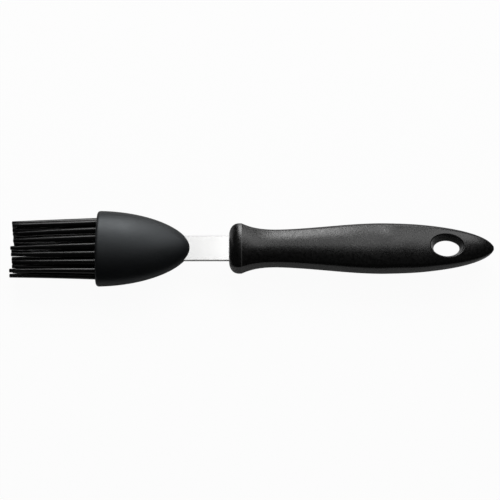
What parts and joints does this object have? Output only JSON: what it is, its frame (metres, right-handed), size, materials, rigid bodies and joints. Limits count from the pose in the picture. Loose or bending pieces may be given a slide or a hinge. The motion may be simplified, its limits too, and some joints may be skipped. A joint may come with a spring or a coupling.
{
  "type": "pastry brush",
  "caption": "Silicone basting brush with a moulded handle, flat steel shank and a bullet-shaped push-on head of soft bristles.",
  "frame": {"origin": "middle of the brush's length, on its centre line", "axes": "+X along the brush from bristles to handle, +Y across its width, +Z out of its upper face"},
  "size_m": [0.22, 0.0358, 0.0186],
  "materials": {
    "handle_plastic": "black polypropylene with a fine spark-eroded grain",
    "steel": "polished flat stainless strip",
    "core_nylon": "black glass-filled nylon",
    "bell_silicone": "smooth satin black silicone",
    "bristle_silicone": "glossy black silicone"
  },
  "bodies": {
    "handle": {"handle": "handle_plastic", "shank": "steel"},
    "head": {"bell": "bell_silicone", "core": "core_nylon", "bristles": "bristle_silicone"}
  },
  "joints": [
    {"name": "head_pull_off", "type": "slide", "parent": "handle", "child": "head", "axis": [-1, 0, 0], "range_m": [0, 0.034]}
  ]
}
